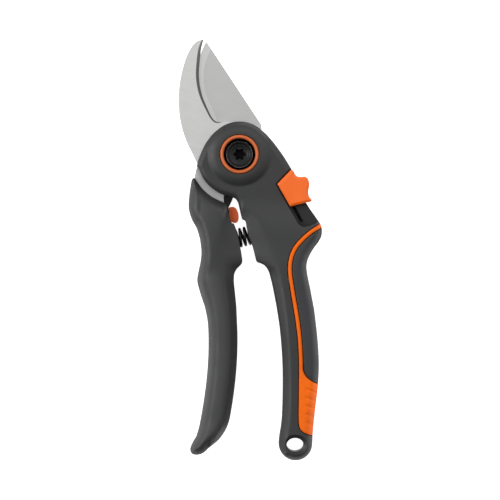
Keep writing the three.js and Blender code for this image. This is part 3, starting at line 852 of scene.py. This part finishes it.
def cutting_blade():
    obj = bevelled(prism(CUTTING_BLADE, CUTTING_BACK, CUTTING_FRONT), 0.25)
    bore = disc(5.8, 0, THICKNESS, sides=48)

    def ground(t):
        """The edge is ground on the back, away from the other jaw."""
        width = 3.6 * smooth_step(t, 0, 0.12) * (1 - 0.3 * smooth_step(t, 0.9, 1))
        edge = CUTTING_FRONT - 0.3
        bottom = CUTTING_BACK - 0.4
        return [(-width, bottom), (-width, CUTTING_BACK), (-0.1, edge), (0.9, edge), (0.9, bottom)]

    def shallow(_):
        """A strip along the edge, ground just deep enough to take the lighter steel colour, a painted
        highlight standing for the light on the edge bevel.
        """
        floor, top = CUTTING_FRONT - 0.03, CUTTING_FRONT + 1
        return [(-3.9, top), (-3.9, floor), (1.2, floor), (1.2, top)]

    bevel = sweep(CUTTING_EDGE, ground)
    rim = sweep(CUTTING_EDGE, shallow)
    # The ground bevel and the rim take the lighter edge steel; on the rim it is a painted highlight.
    coloured(edge_steel_painted_highlight, bevel, rim)
    # The blade body takes the darker steel as painted shade, and the edge rim keeps the lighter steel.
    coloured(cutting_steel_painted_shade, obj)
    cut(obj, bevel, bore, rim)
    piece(
        obj, "cutting_blade_ground", "left_handle", "cutting_blade", cutting_steel_painted_shade,
        BLADE_SHARP,
    )


# ---- right handle


def inlay_cutters(low, high):
    return [prism(line, low, high) for line in (*trim_region(INLAY_GROOVE), insert_region(INSERT_GAP))]


def right_front_shell():
    obj = keep(relief("right_front", RIGHT_HANDLE, right_front, FRONT_SPLIT), through(RIGHT_HANDLE))
    blade_room = prism(offset_closed(COUNTER_BLADE, 0.3), FRONT_SPLIT - 2, COUNTER_FRONT + 0.25)
    ring_seat = disc(10.45, 15.5, THICKNESS + 1)
    bolt_room = disc(7.95, 13.6, THICKNESS)
    track = prism(offset_closed(TRACK, 0.3), TRACK_FLOOR, THICKNESS + 2)
    slot = slide_bar(-2.5, 12.6, 1.7)
    grooves = inlay_cutters(THICKNESS - INLAY_DEPTH - 0.3, THICKNESS + 2)
    # The track's floor takes the darker recess colour, painted shade for the recess.
    coloured(recess_painted_shade, track)
    # Bolt room, ring seat, slot and trim grooves take the near-black groove colour, painted shade in the
    # gaps.
    coloured(groove_painted_shade, bolt_room, ring_seat, slot, *grooves)
    coloured(casing, obj)
    cut(obj, blade_room, bolt_room, ring_seat, track, *grooves, slot, spring_pocket(), hang_hole(flare=0.5))
    piece(obj, "right_front_casing", "right_handle", "right_front_shell", casing)


def screw_bores(side):
    profile = [
        (0, -3), (3.5, -3), (3.5, 0), (3.15, 0.5), (3.15, SCREW_BORE_FLOOR), (1.8, SCREW_BORE_FLOOR),
        (1.8, 14), (0, 14),
    ]
    return [turned(profile, "cutter", 48, at) for at in SCREWS[side]]


def right_back_shell():
    obj = keep(relief("right_back", RIGHT_HANDLE, right_back, BACK_SPLIT), through(RIGHT_HANDLE))
    room_for_arm = [
        disc(18.6, -6, THICKNESS),
        block(-90, -27, 0.6, 90, -6, 30),
        block(-90, -2, 90, 90, -6, 30),
    ]
    channel = slide_bar(-22.7, 11.1, 4.6, low=6.7, high=30)
    detent = slide_bar(-6.8, 9.8, 2.6, sideways=3.4, low=6.7, high=30)
    cut(obj, *room_for_arm, *inlay_cutters(-2, INLAY_DEPTH + 0.3))
    cut(obj, channel, detent, spring_pocket(), hang_hole(flare=0.5), *screw_bores("right"))
    piece(obj, "right_back_casing", "right_handle", "right_back_shell", casing)


def inlays(front):
    """The soft insert and the orange trim on one face, level with the casing."""
    height, base = (right_front, THICKNESS - INLAY_DEPTH) if front else (right_back, INLAY_DEPTH)
    side, outwards = ("front", 1) if front else ("back", -1)
    band, pad = trim_region(0)
    grip = insert_region(0)

    def pillowed(x, y, depth):
        """The insert's edges roll down into the groove round it."""
        inset = distance_to(grip, x, y)
        return height(x, y, depth) - outwards * fall(inset, 0.7, 0.35)

    def ribbed(x, y, depth):
        """The stripe is a round bead; the pad has slanted ribs near the handle's outer edge."""
        from_centre = distance_to(STRIPE_CENTRE, x, y, closed=False)
        bead = 0.45 * np.clip(from_centre / STRIPE_HALF, 0, 1) ** 2
        inset = distance_to(pad, x, y)
        on_pad = smooth_step(np.where(inside(pad, x, y), inset, -inset), -0.3, 0.5)
        edge = fall(np.maximum(inset, 0), 0.8, 0.45)
        phase = (y + 0.42 * (x - 36)) / 4.4
        valley = 0.5 * smooth_step(np.cos(2 * math.pi * phase), 0.1, 0.9)
        ribbed_part = smooth_step(x, 33.8, 36) * smooth_step(y, -143.5, -141) * smooth_step(y, -119.5, -122)
        on_band = 1 - on_pad
        return height(x, y, depth) - outwards * (on_band * bead + on_pad * (edge + valley * ribbed_part))

    insert = relief("insert", RIGHT_HANDLE, pillowed, base, 0.45)
    keep(insert, through(RIGHT_HANDLE), through(grip))
    node = f"grip_insert_{side}"
    piece(insert, f"{node}_rubber", "right_handle", node, soft_grip)

    trim = relief("trim", RIGHT_HANDLE, ribbed, base, 0.32)
    keep(trim, through(RIGHT_HANDLE), join(through(band), through(pad)))
    cut(trim, hang_hole(grow=0.05))
    node = f"grip_trim_{side}"
    piece(trim, f"{node}_rubber", "right_handle", node, stripe_orange)


# ---- left handle


def buffer_socket():
    return prism(offset_closed(STOP_BUFFER, 0.4), BUFFER_BACK - 0.2, BUFFER_TOP + 3)


def left_front_shell():
    obj = keep(relief("left_front", LEFT_HANDLE, left_front, FRONT_SPLIT), through(LEFT_HANDLE))
    cut(obj, spring_pocket(), buffer_socket())
    piece(obj, "left_front_casing", "left_handle", "left_front_shell", casing)


def left_back_shell():
    """The back shell carries the arm that reaches round the pivot behind the cutting blade."""
    obj = keep(relief("left_back", LEFT_HANDLE, left_back, BACK_SPLIT), through(LEFT_HANDLE))
    arm_top = CUTTING_BACK - 0.2
    arm = bevelled(prism(BACK_ARM, ARM_BACK, arm_top), 1.1, 4)
    # The arm takes the near-black nylon colour as painted shade, where it lies under the cutting blade and
    # the casing.
    coloured(nylon_and_painted_shade, arm)
    coloured(casing, obj)
    profile = [(8, 1), (12.6, 1), (12.6, 0), (11.4, -0.9), (8.9, -1.1), (8, -1.1)]
    collar = turned([(r, ARM_BACK + z) for r, z in profile], "collar")
    join(obj, arm, collar)
    blade_room = prism(offset_closed(CUTTING_BLADE, 0.25), arm_top, THICKNESS)
    nut_room = disc(8.8, -1, THICKNESS)
    cut(obj, blade_room, nut_room, spring_pocket(), buffer_socket(), *screw_bores("left"))
    piece(obj, "left_back_casing", "left_handle", "left_back_shell", casing)


def stop_buffer():
    obj = bevelled(prism(STOP_BUFFER, BUFFER_BACK, BUFFER_TOP), 0.9, 4)
    piece(obj, "stop_buffer_rubber", "left_handle", "stop_buffer", buffer_orange)


# ---- pivot and fasteners


def rounded(profile, radius, steps=4):
    """A profile whose corners are rounded, apart from those on the axis."""
    p = np.array(profile, float)
    rows = []
    for before, at, after in zip(np.roll(p, 1, axis=0), p, np.roll(p, -1, axis=0)):
        back, on = before - at, after - at
        if at[0] < 1e-6:
            rows.append(at)
            continue
        r = min(radius, 0.45 * np.linalg.norm(back), 0.45 * np.linalg.norm(on))
        start = at + back / np.linalg.norm(back) * r
        end = at + on / np.linalg.norm(on) * r
        for t in np.linspace(0, 1, steps + 1):
            rows.append((1 - t) ** 2 * start + 2 * t * (1 - t) * at + t**2 * end)
    return [tuple(row) for row in rows]


def lobed(radius, depth, steps=96):
    """A six-lobed socket's outline."""
    angle = np.linspace(0, 2 * math.pi, steps, endpoint=False)
    r = radius - depth * (0.5 - 0.5 * np.cos(6 * angle)) ** 0.8
    return np.column_stack([r * np.cos(angle), r * np.sin(angle)])


def steel_fitting(obj, node, body="right_handle"):
    piece(obj, f"{node}_steel", body, node, plain_steel)


def pivot_bolt():
    top = node_box("pivot_bolt")[1][2]
    head = [
        (0, 14.3), (6.8, 14.3), (6.8, top - 0.6), (6.6, top), (6.2, top), (5.3, top - 0.9), (4.4, top - 0.9),
        (4, top - 1.3), (0, top - 1.3),
    ]
    obj = turned(rounded(head, 0.35, 6), "bolt", 128)
    socket = prism(lobed(3.35, 0.95), top - 3.6, top + 1)
    shank = turned([(0, 1.9), (3.6, 1.9), (BOLT_SHANK, 2.3), (BOLT_SHANK, 14.4), (0, 14.4)], "shank", 64)
    coloured(black_steel, obj)
    # The socket's walls and floor take the near-black groove colour, painted shade inside the socket.
    coloured(groove_painted_shade, socket)
    cut(obj, socket)
    join(obj, shank)
    piece(obj, "pivot_bolt_black", "right_handle", "pivot_bolt", black_steel, TURNED_SHARP)


def pivot_ring():
    low, high = node_box("pivot_ring")
    inner, outer = 8.3, 10.2
    bottom, top = low[2], high[2]
    shoulder = top - 0.7
    profile = [(inner, bottom), (outer, bottom), (outer, shoulder), (9.6, top), (8.9, top), (inner, shoulder)]
    obj = turned(rounded(profile, 0.6, 6), "ring", 128)
    piece(
        obj, "pivot_ring_orange", "right_handle", "pivot_ring", ring_orange, TURNED_SHARP,
    )


def washer(node, outer, dish=0.0):
    inner = BOLT_SHANK + 0.3
    low, high = node_box(node)
    bottom, top = low[2], high[2]
    profile = [(inner, bottom + dish), (outer, bottom), (outer, top - dish), (inner, top)]
    steel_fitting(turned(rounded(profile, 0.12), node), node)


def pivot_nut():
    top = node_box("pivot_nut")[1][2]
    half_across_flats = 6
    corner = half_across_flats / math.cos(math.pi / 6)
    angle = np.radians(np.arange(0, 360, 60))
    hexagon = np.column_stack([corner * np.sin(angle), corner * np.cos(angle)])
    obj = bevelled(prism(hexagon, 0, top), 0.25)
    keep(obj, turned([(0, 0), (5.7, 0), (7.4, 1), (7.4, top + 0.1), (0, top + 0.1)], "cutter"))
    cut(obj, disc(BOLT_SHANK + 0.3, 1.6, top + 1, sides=48))
    groove = [(3.9, -0.2), (4.3, -0.2), (4.3, 0.25), (3.9, 0.25)]
    cut(obj, turned(rounded(groove, 0.05), "cutter", 64))
    piece(obj, "pivot_nut_black", "right_handle", "pivot_nut", black_steel, TURNED_SHARP)


def bush():
    low, high = node_box("pivot_bush")
    inner, outer = BOLT_SHANK + 0.05, 5.5
    profile = [(inner, low[2]), (outer, low[2]), (outer, high[2]), (inner, high[2])]
    obj = turned(rounded(profile, 0.15), "bush")
    piece(obj, "pivot_bush_bronze", "left_handle", "pivot_bush", bronze)


def screws():
    profile = [
        (0, 2.6), (2.3, 2.6), (SCREW_HEAD, 3), (SCREW_HEAD, SCREW_HEAD_TOP), (SCREW_SHANK, SCREW_HEAD_TOP),
        (SCREW_SHANK, 13.2), (0.9, 13.9), (0, 13.9),
    ]
    for side, places in SCREWS.items():
        for at, where in zip(places, ("upper", "middle", "lower")):
            node = f"{side}_screw_{where}"
            obj = turned(rounded(profile, 0.2, 3), node, 48, at)
            cut(obj, prism(lobed(1.35, 0.4, 48) + np.array(at), 0, 3.8))
            piece(obj, f"{node}_black", f"{side}_handle", node, black_steel)


def pin(node, radius, rounding, sides, body):
    """A plain round pin that fills its CAD node's height."""
    low, high = node_box(node)
    centre = ((low[0] + high[0]) / 2, (low[1] + high[1]) / 2)
    profile = [(0, low[2]), (radius, low[2]), (radius, high[2]), (0, high[2])]
    steel_fitting(turned(rounded(profile, rounding), node, sides, centre), node, body)


def rivets():
    for blade, body in (("counter", "right_handle"), ("cutting", "left_handle")):
        for where in ("upper", "lower"):
            pin(f"{blade}_blade_rivet_{where}", 1.9, 0.3, 48, body)


# ---- springs and lock


def return_spring():
    """A coil that thins at both ends."""
    turns, steps, sides = 8, 30, 12
    half = SPRING_LENGTH / 2 - WIRE_RADIUS
    side_axis = SPRING_AXIS.cross(UP)
    count = turns * steps
    sections = []
    for k in range(count + 1):
        t = k / count
        eased = t - 0.04 * math.sin(2 * math.pi * t) / math.pi
        angle = 2 * math.pi * turns * t
        out = side_axis * math.cos(angle) + UP * math.sin(angle)
        centre = SPRING_MIDDLE + SPRING_AXIS * ((eased * 2 - 1) * half) + out * SPRING_RADIUS
        radius = WIRE_RADIUS * (0.55 + 0.45 * min(1, 12 * t, 12 * (1 - t)))
        section = []
        for i in range(sides):
            turn = 2 * math.pi * i / sides
            section.append(centre + out * (radius * math.cos(turn)) + SPRING_AXIS * (radius * math.sin(turn)))
        sections.append(section)
    obj = rings("spring", sections)
    piece(obj, "return_spring_coil", None, "return_spring", black_steel, COIL_SHARP)
    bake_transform(obj)


def spring_seat(side, direction):
    """A flange with a spigot that holds one end of the coil."""
    face = SPRING_LENGTH / 2 + 0.3
    back = face + 1.2
    profile = [
        (0, face - 4), (2.4, face - 4), (3.1, face - 3.2), (3.2, face), (5.1, face), (5.1, back), (0, back),
    ]
    obj = turned(rounded(profile, 0.25), "seat", 64)
    obj.data.transform(Matrix.Translation(SPRING_MIDDLE) @ turn_z_to(SPRING_AXIS * direction))
    node = f"{side}_spring_seat"
    piece(obj, f"{node}_nylon", f"{side}_handle", node, nylon_and_painted_shade)


def lock_slider():
    def height(x, y, depth):
        """A thumb button: flat by the casing, swept up to a ridge over the handle's outer edge."""
        out = (y - PIN_AT.y) * SLIDE.x - (x - PIN_AT.x) * SLIDE.y
        z = SLIDER_TOP - 1.4 + 1.3 * smooth_step(out, 1, 12)
        return z - 0.9 * np.clip(1 - depth / 1.1, 0, 1.35)

    obj = keep(relief("slider", SLIDER, height, SLIDER_BACK, 0.3, 1.0), through(SLIDER))
    piece(obj, "lock_slider_orange", "lock", "lock_slider", slider_orange)


def lock_bar():
    low, high = node_box("lock_bar")
    bar = slide_bar(-19.7, 3, 4, low=low[2], high=high[2])
    steel_fitting(bevelled(bar, 0.3), "lock_bar", "lock")
    pin("lock_pin", 0.7, 0.1, 32, "lock")
    low, high = node_box("lock_detent_spring")
    strip = slide_bar(-6, 9, 0.6, sideways=3.6, low=low[2], high=high[2])
    steel_fitting(bevelled(strip, 0.1), "lock_detent_spring")


# ---- camera, floor and light


def camera():
    """Looks straight down; frame_width is what the picture spans at the height of the blades."""
    frame_width = 262.5 * MM
    centre_x, centre_y = 5.5 * MM, -50.1 * MM
    data = bpy.data.cameras.new("camera")
    data.lens = 280
    data.clip_start = 0.01
    obj = bpy.data.objects.new("camera", data)
    obj.location = (centre_x, centre_y, frame_width * data.lens / data.sensor_width + SHEAR_PLANE * MM)
    bpy.context.scene.collection.objects.link(obj)
    bpy.context.scene.camera = obj


def pale_floor():
    """A plain floor just under the shears, bright enough to show as white."""
    bpy.ops.mesh.primitive_plane_add(size=6, location=(0, 0, -0.4 * MM))
    floor = bpy.context.object
    floor.name = "floor"
    look = Look("pale_floor", (0.8, 0.8, 0.8), 0.9, specular=0.1)
    look.shader.inputs["Emission Color"].default_value = (1, 1, 1, 1)
    look.shader.inputs["Emission Strength"].default_value = 0.95
    floor.data.materials.append(look.material)


def studio():
    """A white surround, dimmer between left and right, and dark low down and past the handles' ends."""
    world = bpy.data.worlds.new("studio")
    world.use_nodes = True
    bpy.context.scene.world = world
    nodes, links = world.node_tree.nodes, world.node_tree.links

    def combined(operation, first, second):
        node = nodes.new("ShaderNodeMath")
        node.operation = operation
        links.new(first, node.inputs[0])
        links.new(second, node.inputs[1])
        return node.outputs["Value"]

    def ramp(value, start, end, low, high):
        node = nodes.new("ShaderNodeMapRange")
        node.interpolation_type = "SMOOTHSTEP"
        set_range(node, start, end, low, high)
        links.new(value, node.inputs["Value"])
        return node.outputs["Result"]

    direction = nodes.new("ShaderNodeSeparateXYZ")
    links.new(nodes.new("ShaderNodeTexCoord").outputs["Generated"], direction.inputs["Vector"])
    from_left = ramp(direction.outputs["X"], 0.3, -0.6, 0.48, 0.95)
    from_right = ramp(direction.outputs["X"], 0.25, 0.8, 0, 0.6)
    from_top = ramp(direction.outputs["Y"], -0.7, 0.05, 0.12, 1)
    above_horizon = ramp(direction.outputs["Z"], 0.05, 0.4, 0.2, 1)
    strength = combined("ADD", from_left, from_right)
    strength = combined("MULTIPLY", strength, from_top)
    strength = combined("MULTIPLY", strength, above_horizon)
    nodes["Background"].inputs["Color"].default_value = (1, 1, 1, 1)
    links.new(strength, nodes["Background"].inputs["Strength"])
    bpy.context.scene.view_settings.view_transform = "Standard"


def softbox(name, where, width, watts):
    """A square area light aimed at the middle of the handles."""
    light = bpy.data.lights.new(name, "AREA")
    light.size = width
    light.energy = watts
    obj = bpy.data.objects.new(name, light)
    obj.location = where
    obj.rotation_euler = (Vector((0, -0.1, 0)) - obj.location).to_track_quat("-Z", "Y").to_euler()
    bpy.context.scene.collection.objects.link(obj)


camera()
pale_floor()
studio()
softbox("left_softbox", (-0.45, 0, 0.35), 0.3, 1.4)
softbox("top_softbox", (0.3, 0.5, 0.9), 0.6, 2.3)
counter_blade()
cutting_blade()
right_front_shell()
right_back_shell()
inlays(front=True)
inlays(front=False)
left_front_shell()
left_back_shell()
stop_buffer()
pivot_bolt()
pivot_ring()
washer("head_washer", 7)
washer("spring_washer", 7.6, dish=0.15)
washer("back_washer", 7.2)
pivot_nut()
bush()
screws()
rivets()
return_spring()
spring_seat("right", 1)
spring_seat("left", -1)
lock_slider()
lock_bar()
